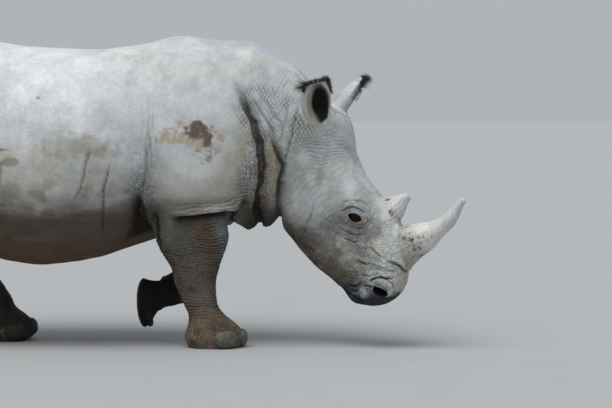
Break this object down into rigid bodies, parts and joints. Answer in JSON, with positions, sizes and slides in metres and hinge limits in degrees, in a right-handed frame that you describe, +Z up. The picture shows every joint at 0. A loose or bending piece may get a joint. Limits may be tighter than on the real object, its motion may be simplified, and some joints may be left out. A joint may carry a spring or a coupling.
{
  "type": "life-size white rhinoceros model",
  "caption": "Still life-size white rhinoceros in mid walk: low head with horns, neck folds, barrel trunk, stout legs, one forefoot lifted.",
  "frame": {"origin": "on the floor, under the middle of the whole model's box", "axes": "+X ahead, from tail to muzzle; +Y to the animal's left; +Z up from the floor"},
  "size_m": [3.292, 1.0939, 1.6199],
  "materials": {
    "hide": "dry, matt, wrinkled grey hide",
    "horn": "dull fibrous horn, worn smooth and bluish at the tip",
    "nail": "dull dark hoof horn",
    "eye": "wet dark brown",
    "hair": "coarse black hair of ear fringe, tail tuft and lashes"
  },
  "bodies": {
    "root": {"ear_left": "hide", "ear_right": "hide", "eye_left": "eye", "eye_right": "eye", "foreleg_left": "hide", "foreleg_right": "hide", "head": "hide", "hindleg_left": "hide", "hindleg_right": "hide", "horn_front": "horn", "horn_rear": "horn", "nail_foreleg_left_1": "nail", "nail_foreleg_left_2": "nail", "nail_foreleg_left_3": "nail", "nail_foreleg_right_1": "nail", "nail_foreleg_right_2": "nail", "nail_foreleg_right_3": "nail", "nail_hindleg_left_1": "nail", "nail_hindleg_left_2": "nail", "nail_hindleg_left_3": "nail", "nail_hindleg_right_1": "nail", "nail_hindleg_right_2": "nail", "nail_hindleg_right_3": "nail", "neck": "hide", "tail": "hide", "trunk": "hide"}
  },
  "joints": []
}
